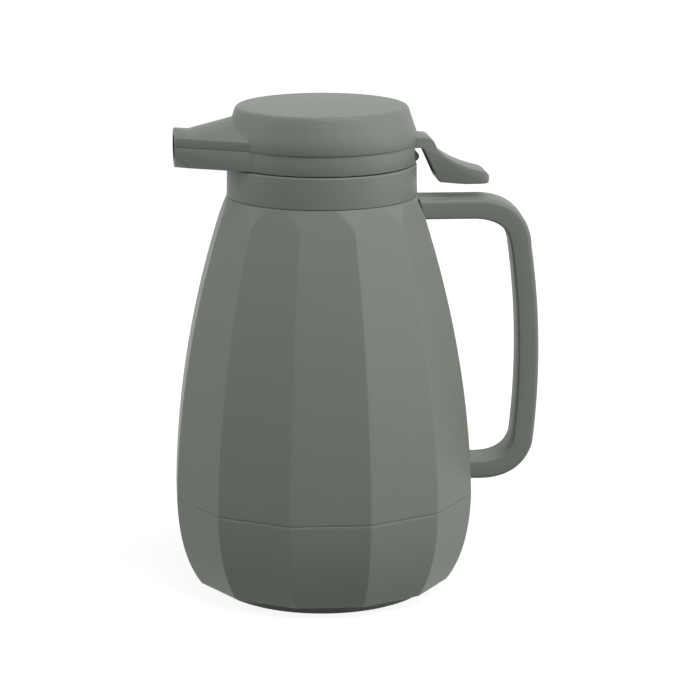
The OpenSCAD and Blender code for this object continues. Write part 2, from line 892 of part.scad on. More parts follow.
module lid_base() {
    color(sage)
        in_lid() difference() {
            union() {
                difference() {
                    union() {
                        translate([0, 0, lid_z])
                            cylinder(r = lid_r, h = lid_base_h);
                        difference() {
                            spout_form(0);
                            above_seam();
                        }
                    }
                    // Room inside, above the floor
                    translate([0, 0, lid_floor_z])
                        cylinder(r = lid_r - lid_wall, h = lid_base_h);
                    spout_form(spout_wall);
                    translate([0, 0, lid_z - 1])
                        cylinder(r = plug_in_r, h = lid_wall + 2);
                    lever_slot();
                }
                // Screw spigot and plug
                ring(thread_r, thread_r - thread_t, thread_foot_z, lid_z - thread_foot_z + 1);
                difference() {
                    ring(plug_r, plug_in_r, plug_foot_z, lid_floor_z - plug_foot_z + dam_h);
                    translate([-BIG + dam_front_x, -BIG / 2, lid_floor_z])
                        cube([BIG, BIG, BIG]);
                    ring(plug_r + 1, plug_r - seal_groove, seal_z, seal_h);
                }
                ring(plug_r - EPS, port_r, plug_foot_z, lid_wall);
                // Guide for the stem on three ribs
                translate([0, 0, hub_z])
                    cylinder(r = hub_r, h = hub_top_z - hub_z);
                for (a = [0, 120, 240])
                    rotate([0, 0, a])
                        translate([hub_r - 1, -rib_t / 2, rib_z])
                            cube([plug_in_r - hub_r + 1.5, rib_t, rib_h]);
                ears(lid_floor_z - EPS, lid_seam_z);
                // Index nub at the back
                translate([lid_r + nub_proud - nub_r, nub_w / 2, lid_z + nub_r + 0.2])
                    rotate([90, 0, 0])
                        cylinder(r = nub_r, h = nub_w);
            }
            translate([0, 0, hub_z - 1])
                cylinder(r = stem_r + running, h = hub_top_z - hub_z + 2);
            lid_screw_places()
                translate([0, 0, lid_z - 1])
                    cylinder(r = lid_screw_r + 0.3, h = lid_wall + 2);
            pin_seat();
        }
}

// Outline of the cap, moved in by a wall
function cap_profile(inset) =
    concat(
        [
            [0, lid_seam_z],
            [cap_r - inset, lid_seam_z],
            [cap_r - inset, lid_seam_z + cap_band_h]],
        curve(
            [cap_cone_r - inset, lid_seam_z + cap_rise - inset],
            [cap_cone_r - inset - 0.6, cap_top_z - inset],
            [cap_cone_r - inset - 1.6 * cap_round, cap_top_z - inset],
            5),
        [[0, cap_top_z - inset + (inset > 0 ? 0 : cap_crown)]]);

module cap_form(inset) {
    rotate_extrude()
        polygon(cap_profile(inset));
}

module lid_cap() {
    color(sage)
        in_lid() difference() {
            union() {
                difference() {
                    union() {
                        cap_form(0);
                        difference() {
                            spout_form(0);
                            below_seam();
                        }
                    }
                    translate([0, 0, -EPS])
                        cap_form(lid_wall);
                    spout_form(spout_wall);
                    lever_slot();
                }
                intersection() {
                    cap_form(lid_wall / 2);
                    union() {
                        ears(lid_seam_z, cap_top_z);
                        lid_screw_places()
                            translate([0, 0, lid_seam_z])
                                cylinder(r = post_r, h = cap_h);
                    }
                }
                lid_screw_places()
                    translate([0, 0, lid_floor_z + 2 * fit])
                        cylinder(r = post_r, h = lid_base_h);
            }
            pin_seat();
            lid_screw_places()
                translate([0, 0, lid_floor_z - 1])
                    cylinder(r = lid_screw_r + fit / 2, h = lid_screw_l);
        }
}

// Lip seal round the plug, just clear of the flask's neck
module plug_seal() {
    seal_in_r = plug_r - seal_groove + fit;
    lip_r = neck_bore_r - 0.3;
    color(rubber_grey)
        rotate_extrude()
            polygon([
                [seal_in_r, seal_z + fit],
                [plug_r + 0.3, seal_z + fit],
                [lip_r, seal_z + 0.9],
                [lip_r, seal_z + 1.3],
                [plug_r + 0.4, seal_z + 1.5],
                [lip_r, seal_z + 1.8],
                [lip_r, seal_z + 2.2],
                [plug_r + 0.3, seal_z + seal_h - fit],
                [seal_in_r, seal_z + seal_h - fit]]);
}

module lid_screws() {
    color(steel)
        in_lid() lid_screw_places() {
            difference() {
                translate([0, 0, lid_z - lid_screw_head_h])
                    cylinder(r = lid_screw_head_r, h = lid_screw_head_h);
                translate([-lid_screw_head_r, -0.3, lid_z - lid_screw_head_h - 1])
                    cube([2 * lid_screw_head_r, 0.6, 1.8]);
                translate([-0.3, -lid_screw_head_r, lid_z - lid_screw_head_h - 1])
                    cube([0.6, 2 * lid_screw_head_r, 1.8]);
            }
            translate([0, 0, lid_z - EPS])
                cylinder(r = lid_screw_r, h = lid_screw_l);
        }
}

module lever_pin() {
    color(steel)
        in_lid() translate([pin_x, pin_half_l, pin_z])
            rotate([90, 0, 0])
                cylinder(r = pin_r, h = 2 * pin_half_l);
}

// Side outline of the thumb piece, outside the lid, from the pin's height
bump_x = lid_r + 6;
bump_end_x = lid_r + 9.8;
heel_x = lid_r + 10.5;
root_top = root_t - root_low;
bump_fall = 3.2;
tip_rise = 5.9;
thumb_run = lever_reach - bump_end_x;

thumb_outline = concat(
    [[pin_x, -root_low], [pin_x, root_top]],
    curve([bump_x - 1.5, root_top], [bump_x + 2.6, root_top], [bump_end_x, -bump_fall], 6),
    curve(
        [bump_end_x + 0.6, -bump_fall - 0.6],
        [bump_end_x + 0.33 * thumb_run, -lever_drop + 1.6 * tip_rise],
        [lever_reach - 3.4, -lever_drop + tip_rise + 0.3],
        8),
    curve(
        [lever_reach - 2.6, -lever_drop + tip_rise],
        [lever_reach, -lever_drop + tip_rise - 1],
        [lever_reach, -lever_drop + tip_rise - 3.6],
        5),
    [
        [lever_reach, -lever_drop + 0.8],
        [lever_reach - 0.8, -lever_drop],
        [(heel_x + lever_reach) / 2, -lever_drop],
        [heel_x + 1, -lever_drop + 1.2],
        [heel_x, -lever_drop + 2],
        [lid_r + 3.2, -root_low]]);

// Hollow of the thumb piece, open towards the lid
thumb_hollow = concat(
    [[lid_r + 2, -root_low - lever_skin], [bump_end_x - lever_skin, -root_low - lever_skin]],
    curve(
        [bump_end_x - 0.8, -bump_fall - lever_skin - 1.4],
        [bump_end_x + 0.3 * thumb_run, -lever_drop + 1.2 * tip_rise],
        [lever_reach - 3 * lever_skin, -lever_drop + lever_skin + 0.6],
        6),
    [[heel_x + 2, -lever_drop + lever_skin + 1.6], [heel_x - 5, -lever_drop + lever_skin + 3.4]]);

// Plan of the lever with a rounded tip
module lever_plan() {
    corner = lever_w / 5;
    tip_x = lever_reach - corner;
    side_y = lever_w / 2 - corner;
    polygon(concat(
        [[0, -lever_w / 2]],
        [for (a = [-90:15:0]) [tip_x + corner * cos(a), -side_y + corner * sin(a)]],
        [for (a = [0:15:90]) [tip_x + corner * cos(a), side_y + corner * sin(a)]],
        [[0, lever_w / 2]]));
}

module side_plate(outline, width) {
    translate([0, width / 2, pin_z])
        rotate([90, 0, 0])
            linear_extrude(width)
                polygon(outline);
}

module thumb_lever() {
    color(sage)
        in_lid() difference() {
            union() {
                intersection() {
                    side_plate(thumb_outline, lever_w);
                    translate([0, 0, pin_z - lever_drop - 1])
                        linear_extrude(2 * lever_drop)
                            lever_plan();
                }
                // Barrel round the pin
                translate([pin_x, lever_w / 2, pin_z])
                    rotate([90, 0, 0])
                        cylinder(r = barrel_r, h = lever_w);
                // Inner arm, with two rounded noses under the stem's clip
                translate([fork_x, -arm_w / 2, pin_z - arm_t / 2])
                    cube([pin_x - fork_x, arm_w, arm_t]);
                translate([fork_x, arm_w / 2, pin_z])
                    rotate([90, 0, 0])
                        cylinder(r = nose_r, h = arm_w);
            }
            side_plate(thumb_hollow, lever_w - 2 * lever_skin);
            pin_bore(pin_r + running);
            // Fork slot round the stem
            translate([fork_x + stem_r + 2, 0, pin_z - 2 * nose_r])
                cylinder(r = fork_gap / 2, h = 4 * nose_r);
            translate([-BIG + fork_x + stem_r + 2, -fork_gap / 2, pin_z - 2 * nose_r])
                cube([BIG, fork_gap, 4 * nose_r]);
        }
}

module valve_stem() {
    color(steel)
        difference() {
            union() {
                translate([0, 0, seat_z - stem_foot_h])
                    cylinder(r = stem_foot_r, h = stem_foot_h);
                translate([0, 0, seat_z - EPS])
                    cylinder(r = stem_r, h = stem_top_z - seat_z - 0.6);
                translate([0, 0, stem_top_z - 0.6 - EPS])
                    cylinder(r1 = stem_r, r2 = stem_r - 0.6, h = 0.6);
            }
            ring(stem_r + 1, neck_r, clip_z, clip_t);
        }
}

module valve_disc() {
    color(natural)
        difference() {
            union() {
                translate([0, 0, disc_z])
                    cylinder(r = seal_disc_r - 1, h = disc_t);
                // Centring boss inside the spring
                translate([0, 0, disc_z + disc_t - EPS])
                    cylinder(r = spring_r - spring_wire_r - 0.4, h = 2);
            }
            translate([0, 0, disc_z - 1])
                cylinder(r = stem_r + fit / 2, h = disc_t + 4);
        }
}

module valve_seal() {
    color(rubber_grey)
        ring(seal_disc_r, stem_r + fit, seat_z + seat_gap, seal_disc_t - seat_gap);
}

module stem_clip() {
    color(steel)
        in_lid() difference() {
            ring(clip_r, neck_r + fit / 2, clip_z + fit / 2, clip_t - fit);
            translate([0, -neck_r, clip_z - 1])
                cube([clip_r + 1, 2 * neck_r - 0.6, clip_t + 2]);
        }
}

// Spring round the stem, between the disc and the guide
module valve_spring() {
    low_z = disc_z + disc_t + spring_wire_r;
    high_z = hub_z - spring_wire_r;
    rings = ceil(spring_turns * coil_steps);
    points = [
        for (i = [0:rings])
            let (
                a = 360 * spring_turns * i / rings,
                z = low_z + (high_z - low_z) * i / rings)
            for (k = [0:coil_sides - 1])
                let (
                    b = 360 * k / coil_sides,
                    r = spring_r + spring_wire_r * cos(b))
                [r * cos(a), r * sin(a), z + spring_wire_r * sin(b)]];
    sides = [
        for (i = [0:rings - 1])
            for (k = [0:coil_sides - 1])
                let (next = (k + 1) % coil_sides)
                [i * coil_sides + k, i * coil_sides + next,
                    (i + 1) * coil_sides + next, (i + 1) * coil_sides + k]];
    ends = [
        [for (k = [coil_sides - 1:-1:0]) k],
        [for (k = [0:coil_sides - 1]) rings * coil_sides + k]];
    color(steel)
        polyhedron(points = points, faces = concat(sides, ends), convexity = 8);
}

outer_shell();
base_cup();
foot_pad();
neck_collar();
flask_liner();
flask_jacket();
flask_spacers();
flask_cushion();
rim_gasket();
handle_shell();
handle_cover();
handle_screws();
lid_gasket();
lid_base();
lid_cap();
plug_seal();
lid_screws();
lever_pin();
thumb_lever();
valve_stem();
valve_disc();
valve_seal();
stem_clip();
valve_spring();
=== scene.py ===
import logging
import math
from collections.abc import Callable, Sequence
from dataclasses import dataclass
from enum import Enum

import bmesh
import bpy
from mathutils import Matrix, Vector


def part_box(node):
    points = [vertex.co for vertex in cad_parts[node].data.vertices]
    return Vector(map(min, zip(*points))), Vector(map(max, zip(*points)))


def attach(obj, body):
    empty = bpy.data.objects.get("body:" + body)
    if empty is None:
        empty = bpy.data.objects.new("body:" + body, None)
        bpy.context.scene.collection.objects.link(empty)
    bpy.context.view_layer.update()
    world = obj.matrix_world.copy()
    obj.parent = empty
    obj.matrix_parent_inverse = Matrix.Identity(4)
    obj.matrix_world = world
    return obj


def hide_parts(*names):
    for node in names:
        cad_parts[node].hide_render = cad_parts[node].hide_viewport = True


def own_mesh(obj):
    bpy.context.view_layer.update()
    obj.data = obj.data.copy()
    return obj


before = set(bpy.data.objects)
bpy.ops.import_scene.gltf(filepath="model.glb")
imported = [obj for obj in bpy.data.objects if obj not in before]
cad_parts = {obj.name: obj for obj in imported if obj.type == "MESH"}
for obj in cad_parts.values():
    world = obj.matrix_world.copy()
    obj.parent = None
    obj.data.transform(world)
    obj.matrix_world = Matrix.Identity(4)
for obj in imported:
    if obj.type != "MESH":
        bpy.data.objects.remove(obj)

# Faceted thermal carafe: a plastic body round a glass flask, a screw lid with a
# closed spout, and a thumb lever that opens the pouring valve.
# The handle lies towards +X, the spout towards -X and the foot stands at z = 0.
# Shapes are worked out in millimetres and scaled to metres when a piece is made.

LOG = logging.getLogger("carafe")
MM = 0.001
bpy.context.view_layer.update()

Point = tuple[float, float]
Color = tuple[float, float, float]
Form = bmesh.types.BMesh


class Body(Enum):
    """The moving bodies that carry new pieces."""

    CARAFE = "carafe"
    LID = "lid"
    LEVER = "lever"


class Slot(Enum):
    """The record's material slots of the new pieces."""

    BODY = "body_plastic"
    BASE = "base_plastic"
    HANDLE = "handle_plastic"
    LID = "lid_plastic"
    STEEL = "screw_steel"


# Outlines and forms


def node_box(node: str) -> tuple[Vector, Vector]:
    """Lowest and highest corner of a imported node, in millimetres."""
    low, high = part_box(node)
    return low / MM, high / MM


def curve(a: Sequence[float], b: Sequence[float], c: Sequence[float], n: int) -> list[tuple]:
    """Points of a curve from a to c, bent towards b.

    Args:
        a: First point.
        b: Point that the curve bends towards.
        c: Last point.
        n: Number of steps.

    Returns:
        The n + 1 points of the curve.
    """
    points = []
    for i in range(n + 1):
        t = i / n
        points.append(tuple(
            (1 - t) ** 2 * p + 2 * t * (1 - t) * q + t * t * r for p, q, r in zip(a, b, c)
        ))
    return points


def rounded(path: Sequence[tuple[float, float, float]], steps: int) -> list[Point]:
    """Rounds the corners of a closed outline.

    Args:
        path: Corners as (across, up, radius); a radius of 0 keeps the corner sharp.
        steps: Number of steps in each rounded corner.

    Returns:
        The points of the rounded outline.
    """
    out: list[Point] = []
    count = len(path)
    for i, (x, y, radius) in enumerate(path):
        if radius <= 0:
            out.append((x, y))
            continue
        here = Vector((x, y))
        back = Vector(path[i - 1][:2]) - here
        on = Vector(path[(i + 1) % count][:2]) - here
        half = back.angle(on) / 2
        reach = min(radius / max(math.tan(half), 0.05), 0.48 * back.length, 0.48 * on.length)
        start = here + back.normalized() * reach
        end = here + on.normalized() * reach
        out.extend(curve(start, here, end, steps))
    return out


def spun(profile: Sequence[Point], steps: int) -> Form:
    """Turns a closed outline round the vertical axis.

    Args:
        profile: Points as (radius, height).
        steps: Number of steps round the axis.

    Returns:
        The turned form.
    """
    form = bmesh.new()
    verts = [form.verts.new((r, 0.0, z)) for r, z in profile]
    edges = [form.edges.new(pair) for pair in zip(verts, verts[1:] + verts[:1])]
    bmesh.ops.spin(
        form, geom=verts + edges, cent=(0, 0, 0), axis=(0, 0, 1), dvec=(0, 0, 0),
        angle=math.tau, steps=steps, use_merge=True, use_duplicate=False)
    bmesh.ops.remove_doubles(form, verts=form.verts[:], dist=1e-5)
    return form


def lofted(rings: Sequence[Sequence[Vector]], loop: bool = False) -> Form:
    """Extrudes a closed ring of points from station to station.

    Args:
        rings: The ring's points at each station, all of the same number.
        loop: Whether the last station joins the first, or both get a closing face.

    Returns:
        The lofted form.
    """
    form = bmesh.new()
    made = bmesh.ops.create_circle(form, cap_ends=False, segments=len(rings[0]), radius=1.0)
    current = list(made["verts"])
    for vert, place in zip(current, rings[0]):
        vert.co = place
    first_edges = edges = form.edges[:]
    for ring in rings[1:]:
        geom = bmesh.ops.extrude_edge_only(form, edges=edges)["geom"]
        fresh = {item for item in geom if isinstance(item, bmesh.types.BMVert)}
        following = []
        for vert in current:
            following.append(next(
                edge.other_vert(vert) for edge in vert.link_edges
                if edge.other_vert(vert) in fresh))
        for vert, place in zip(following, ring):
            vert.co = place
        current = following
        edges = [item for item in geom if isinstance(item, bmesh.types.BMEdge)
                 and item.verts[0] in fresh and item.verts[1] in fresh]
    if loop:
        bmesh.ops.bridge_loops(form, edges=list(edges) + list(first_edges))
    else:
        bmesh.ops.contextual_create(form, geom=list(first_edges))
        bmesh.ops.contextual_create(form, geom=list(edges))
    return form


def cad_form(node: str) -> Form:
    """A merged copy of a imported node's mesh, in millimetres.

    Args:
        node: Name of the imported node.

    Returns:
        The copy, with its flat faces joined.
    """
    form = bmesh.new()
    form.from_mesh(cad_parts[node].data)
    bmesh.ops.scale(form, vec=(1 / MM, 1 / MM, 1 / MM), verts=form.verts[:])
    bmesh.ops.remove_doubles(form, verts=form.verts[:], dist=0.003)
    bmesh.ops.dissolve_limit(
        form, angle_limit=math.radians(0.4), verts=form.verts[:], edges=form.edges[:],
        use_dissolve_boundaries=False)
    return form


def soften(form: Form, width: float, angle: float, where: Callable[[Vector], bool]) -> None:
    """Rounds the sharp edges of a form.

    Args:
        form: Form to change.
        width: Width of the rounding in millimetres.
        angle: Least angle between the faces of an edge, in degrees.
        where: Says whether an edge at a place is rounded.
    """
    limit = math.radians(angle)
    low = [min(vert.co[k] for vert in form.verts) for k in range(3)]
    high = [max(vert.co[k] for vert in form.verts) for k in range(3)]
    edges = [
        edge for edge in form.edges
        if len(edge.link_faces) == 2 and edge.calc_face_angle(0.0) > limit
        and where(edge.verts[0].co) and where(edge.verts[1].co)
    ]
    bmesh.ops.bevel(
        form, geom=edges, offset=width, offset_type="OFFSET", segments=2,
        profile=0.5, affect="EDGES", clamp_overlap=False, material=-1)
    for vert in form.verts:
        vert.co = [min(max(vert.co[k], low[k]), high[k]) for k in range(3)]


def make_piece(name: str, form: Form, body: Body, finish: bpy.types.Material,
               stands_for: Sequence[str] = (), crease: float = 30.0,
               recalculate: bool = True) -> bpy.types.Object:
    """Makes an object of a form, dresses it and lets it ride on a body.

    Args:
        name: Name of the piece.
        form: Its form in millimetres; it is freed here.
        body: Body that carries the piece.
        finish: Material of the whole piece.
        stands_for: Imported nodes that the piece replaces.
        crease: Edges sharper than this stay crisp, in degrees.
        recalculate: Whether the faces are turned outwards anew.

    Returns:
        The finished object.
    """
    bmesh.ops.scale(form, vec=(MM, MM, MM), verts=form.verts[:])
    if recalculate:
        bmesh.ops.recalc_face_normals(form, faces=form.faces[:])
    limit = math.radians(crease)
    for edge in form.edges:
        edge.smooth = edge.calc_face_angle(0.0) < limit
    for face in form.faces:
        face.smooth = True
    mesh = bpy.data.meshes.new(name)
    form.to_mesh(mesh)
    form.free()
    piece = bpy.data.objects.new(name, mesh)
    bpy.context.scene.collection.objects.link(piece)
    mesh.materials.append(finish)
    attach(piece, body.value)
    if stands_for:
        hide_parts(*stands_for)
    LOG.info("%s: %d faces on %s", name, len(mesh.polygons), body.value)
    return piece


def dress_node(node: str, finish: bpy.types.Material) -> None:
    """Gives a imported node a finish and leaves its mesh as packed.

    Args:
        node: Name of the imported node.
        finish: Material for all its slots.
    """
    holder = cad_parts[node]
    if not holder.material_slots:
        holder.data.materials.append(finish)
    for place in holder.material_slots:
        place.link = "OBJECT"
        place.material = finish
    LOG.info("%s: finish %s", node, finish.name)


# Finishes

# Pointiness at which an edge starts to be rubbed, and is rubbed in full
EDGE_FROM = 0.515
EDGE_FULL = 0.60
# Noise at which a patch of rubbed edge starts, and is full
PATCH_FROM = 0.30
PATCH_FULL = 0.65
# Share of the sideways place that makes turning marks waver
LINE_DRIFT = 0.04


class NodeBoard:
    """A node tree with short calls for adding and joining nodes."""

    def __init__(self, tree: bpy.types.NodeTree) -> None:
        """Keeps the tree and empties it."""
        self.tree = tree
        tree.nodes.clear()

    def add(self, kind: str, **settings: object) -> bpy.types.Node:
        """Adds a node.

        Args:
            kind: Its type name without the prefix "ShaderNode".
            settings: Node settings, and socket values with "_" for a space.

        Returns:
            The new node.
        """
        prefix = "" if kind.startswith("Node") else "ShaderNode"
        node = self.tree.nodes.new(prefix + kind)
        for key, value in settings.items():
            if hasattr(node, key):
                setattr(node, key, value)
            else:
                node.inputs[key.replace("_", " ")].default_value = value
        return node

    def join(self, source: bpy.types.NodeSocket, target: bpy.types.NodeSocket) -> None:
        """Links a source to a target socket."""
        self.tree.links.new(source, target)

    def math(self, operation: str, *values: bpy.types.NodeSocket | float,
             use_clamp: bool = False) -> bpy.types.NodeSocket:
        """Adds a mathematical node.

        Args:
            operation: Its operation.
            values: A socket or a number for each of its inputs.
            use_clamp: Whether the result is kept between 0 and 1.

        Returns:
            The result's socket.
        """
        node = self.add("Math", operation=operation, use_clamp=use_clamp)
        for place, value in zip(node.inputs, values):
            if isinstance(value, bpy.types.NodeSocket):
                self.join(value, place)
            else:
                place.default_value = value
        return node.outputs[0]


@dataclass(frozen=True)
class Socket:
    """A named input or output of a node group."""

    name: str
    kind: str
    value: float | tuple[float, ...] | None = None

    def make(self, tree: bpy.types.NodeTree, side: str) -> None:
        """Adds the socket to a group's interface.

        Args:
            tree: The group.
            side: "INPUT" or "OUTPUT".
        """
        socket = tree.interface.new_socket(
            name=self.name, in_out=side, socket_type=f"NodeSocket{self.kind}")
        if self.value is not None:
            socket.default_value = self.value


def new_group(name: str, inputs: Sequence[Socket], outputs: Sequence[Socket]) -> NodeBoard:
    """Makes an empty node group with its sockets.

    Args:
        name: Name of the group.
        inputs: Its inputs.
        outputs: Its outputs.

    Returns:
        A board for the group's nodes.
    """
    tree = bpy.data.node_groups.new(name, "ShaderNodeTree")
    for socket in inputs:
        socket.make(tree, "INPUT")
    for socket in outputs:
        socket.make(tree, "OUTPUT")
    return NodeBoard(tree)


class Effects:
    """Shader node groups that several finishes share."""

    def __init__(self) -> None:
        """Builds each group once."""
        self.grain = self._grain()
        self.rub = self._rub()
        self.turning = self._turning()

    def _grain(self) -> bpy.types.NodeTree:
        """Fine moulded grain with faint flow marks in colour and gloss."""
        board = new_group(
            "Moulded grain",
            [
                Socket("Color", "Color", (0.5, 0.5, 0.5, 1.0)),
                Socket("Flow Tint", "Float", 0.03),
                Socket("Flow Size", "Float", 30.0),
                Socket("Grain Size", "Float", 2500.0),
                Socket("Roughness", "Float", 0.4),
                Socket("Gloss Spread", "Float", 0.05),
                Socket("Shift", "Float", 0.0),
            ],
            [Socket("Color", "Color"), Socket("Roughness", "Float"), Socket("Height", "Float")])
        given = board.add("NodeGroupInput")
        result = board.add("NodeGroupOutput")
        place = board.add("TexCoord")
        moved = board.add("VectorMath", operation="ADD")
        board.join(place.outputs["Object"], moved.inputs[0])
        board.join(given.outputs["Shift"], moved.inputs[1])
        flow = board.add("TexNoise", Detail=3.0, Roughness=0.55)
        board.join(moved.outputs["Vector"], flow.inputs["Vector"])
        board.join(given.outputs["Flow Size"], flow.inputs["Scale"])
        grain = board.add("TexNoise", Detail=2.0, Roughness=0.6)
        board.join(moved.outputs["Vector"], grain.inputs["Vector"])
        board.join(given.outputs["Grain Size"], grain.inputs["Scale"])
        centred = board.math("SUBTRACT", flow.outputs["Fac"], 0.5)
        tint = board.math("MULTIPLY", centred, given.outputs["Flow Tint"])
        shade = board.add("VectorMath", operation="SCALE")
        board.join(given.outputs["Color"], shade.inputs[0])
        board.join(board.math("MULTIPLY_ADD", tint, 2.0, 1.0), shade.inputs["Scale"])
        board.join(shade.outputs["Vector"], result.inputs["Color"])
        spread = board.math("MULTIPLY", centred, given.outputs["Gloss Spread"])
        rough = board.math("ADD", spread, given.outputs["Roughness"], use_clamp=True)
        board.join(rough, result.inputs["Roughness"])
        board.join(grain.outputs["Fac"], result.inputs["Height"])
        return board.tree

    def _rub(self) -> bpy.types.NodeTree:
        """Paler colour along outer edges, broken up by a noise."""
        board = new_group(
            "Edge rub",
            [
                Socket("Color", "Color", (0.5, 0.5, 0.5, 1.0)),
                Socket("Rubbed Color", "Color", (0.6, 0.6, 0.6, 1.0)),
                Socket("Amount", "Float", 0.3),
                Socket("Patch Size", "Float", 200.0),
            ],
            [Socket("Color", "Color")])
        given = board.add("NodeGroupInput")
        result = board.add("NodeGroupOutput")
        shape = board.add("NewGeometry")
        place = board.add("TexCoord")
        edge = board.add("MapRange", interpolation_type="SMOOTHSTEP",
                         From_Min=EDGE_FROM, From_Max=EDGE_FULL)
        board.join(shape.outputs["Pointiness"], edge.inputs["Value"])
        patches = board.add("TexNoise", Detail=3.0, Roughness=0.6)
        board.join(place.outputs["Object"], patches.inputs["Vector"])
        board.join(given.outputs["Patch Size"], patches.inputs["Scale"])
        broken = board.add("MapRange", From_Min=PATCH_FROM, From_Max=PATCH_FULL)
        board.join(patches.outputs["Fac"], broken.inputs["Value"])
        mask = board.math("MULTIPLY", edge.outputs["Result"], broken.outputs["Result"])
        share = board.math("MULTIPLY", mask, given.outputs["Amount"], use_clamp=True)
        mix = board.add("Mix", data_type="RGBA")
        board.join(share, mix.inputs["Factor"])
        board.join(given.outputs["Color"], mix.inputs[6])
        board.join(given.outputs["Rubbed Color"], mix.inputs[7])
        board.join(mix.outputs[2], result.inputs["Color"])
        return board.tree

    def _turning(self) -> bpy.types.NodeTree:
        """Fine turning marks round the vertical axis, for metal and glass."""
        board = new_group(
            "Turning marks",
            [Socket("Line Size", "Float", 6000.0), Socket("Roughness", "Float", 0.25),
             Socket("Gloss Spread", "Float", 0.1)],
            [Socket("Roughness", "Float"), Socket("Height", "Float")])
        given = board.add("NodeGroupInput")
        result = board.add("NodeGroupOutput")
        place = board.add("TexCoord")
        split = board.add("SeparateXYZ")
        board.join(place.outputs["Object"], split.inputs[0])
        low = board.add("CombineXYZ")
        board.join(board.math("MULTIPLY", split.outputs["X"], LINE_DRIFT), low.inputs["X"])
        board.join(split.outputs["Z"], low.inputs["Z"])
        lines = board.add("TexNoise", Detail=2.0, Roughness=0.6)
        board.join(low.outputs[0], lines.inputs["Vector"])
        board.join(given.outputs["Line Size"], lines.inputs["Scale"])
        spread = board.math("MULTIPLY", lines.outputs["Fac"], given.outputs["Gloss Spread"])
        rough = board.math("ADD", spread, given.outputs["Roughness"], use_clamp=True)
        board.join(rough, result.inputs["Roughness"])
        board.join(lines.outputs["Fac"], result.inputs["Height"])
        return board.tree


def start_material(name: str) -> tuple[bpy.types.Material, NodeBoard, bpy.types.Node]:
    """A material with a Principled shader joined to its output.

    Args:
        name: Name of the material.

    Returns:
        The material, its board and the shader node.
    """
    material = bpy.data.materials.new(name)
    material.use_nodes = True
    board = NodeBoard(material.node_tree)
    shader = board.add("BsdfPrincipled")
    output = board.add("OutputMaterial")
    board.join(shader.outputs["BSDF"], output.inputs["Surface"])
    return material, board, shader


@dataclass(frozen=True)
class MouldedPlastic:
    """A moulded plastic or rubber with a fine grain and rubbed edges."""

    name: str
    color: Color
    rubbed: Color
    roughness: float = 0.48
    gloss_spread: float = 0.08
    flow_tint: float = 0.03
    flow_size: float = 22.0
    grain_size: float = 2600.0
    grain_depth: float = 0.00003
    bump: float = 0.25
    rub: float = 0.35
    shift: float = 0.0
    reflectance: float = 0.32
    sheen: float = 0.0

    def build(self, effects: Effects) -> bpy.types.Material:
        """Makes the material.

        Args:
            effects: Shared node groups.

        Returns:
            The material.
        """
        material, board, shader = start_material(self.name)
        shader.inputs["Specular IOR Level"].default_value = self.reflectance
        shader.inputs["Sheen Weight"].default_value = self.sheen
        rub = board.add(
            "Group", node_tree=effects.rub, Color=(*self.color, 1.0),
            Rubbed_Color=(*self.rubbed, 1.0), Amount=self.rub)
        grain = board.add(
            "Group", node_tree=effects.grain, Flow_Tint=self.flow_tint,
            Flow_Size=self.flow_size, Grain_Size=self.grain_size, Roughness=self.roughness,
            Gloss_Spread=self.gloss_spread, Shift=self.shift)
        board.join(rub.outputs["Color"], grain.inputs["Color"])
        board.join(grain.outputs["Color"], shader.inputs["Base Color"])
        board.join(grain.outputs["Roughness"], shader.inputs["Roughness"])
        bump = board.add("Bump", Strength=self.bump, Distance=self.grain_depth)
        board.join(grain.outputs["Height"], bump.inputs["Height"])
        board.join(bump.outputs["Normal"], shader.inputs["Normal"])
        return material


@dataclass(frozen=True)
class TurnedMetal:
    """Bare metal, or silvered glass where it has a coat."""

    name: str
    color: Color
    roughness: float = 0.24
    gloss_spread: float = 0.12
    line_size: float = 5000.0
    coat: float = 0.0
    coat_roughness: float = 0.03
    flow_tint: float = 0.05
    flow_size: float = 60.0
    bump: float = 0.15
    mark_depth: float = 0.00002

    def build(self, effects: Effects) -> bpy.types.Material:
        """Makes the material.

        Args:
            effects: Shared node groups.

        Returns:
            The material.
        """
        material, board, shader = start_material(self.name)
        shader.inputs["Metallic"].default_value = 1.0
        shader.inputs["Coat Weight"].default_value = self.coat
        shader.inputs["Coat Roughness"].default_value = self.coat_roughness
        marks = board.add(
            "Group", node_tree=effects.turning, Line_Size=self.line_size,
            Roughness=self.roughness, Gloss_Spread=self.gloss_spread)
        board.join(marks.outputs["Roughness"], shader.inputs["Roughness"])
        grain = board.add(
            "Group", node_tree=effects.grain, Color=(*self.color, 1.0),
            Flow_Tint=self.flow_tint, Flow_Size=self.flow_size)
        board.join(grain.outputs["Color"], shader.inputs["Base Color"])
        bump = board.add("Bump", Strength=self.bump, Distance=self.mark_depth)
        board.join(marks.outputs["Height"], bump.inputs["Height"])
        board.join(bump.outputs["Normal"], shader.inputs["Normal"])
        return material


SAGE: Color = (0.235, 0.262, 0.228)
SAGE_RUBBED: Color = (0.30, 0.325, 0.29)


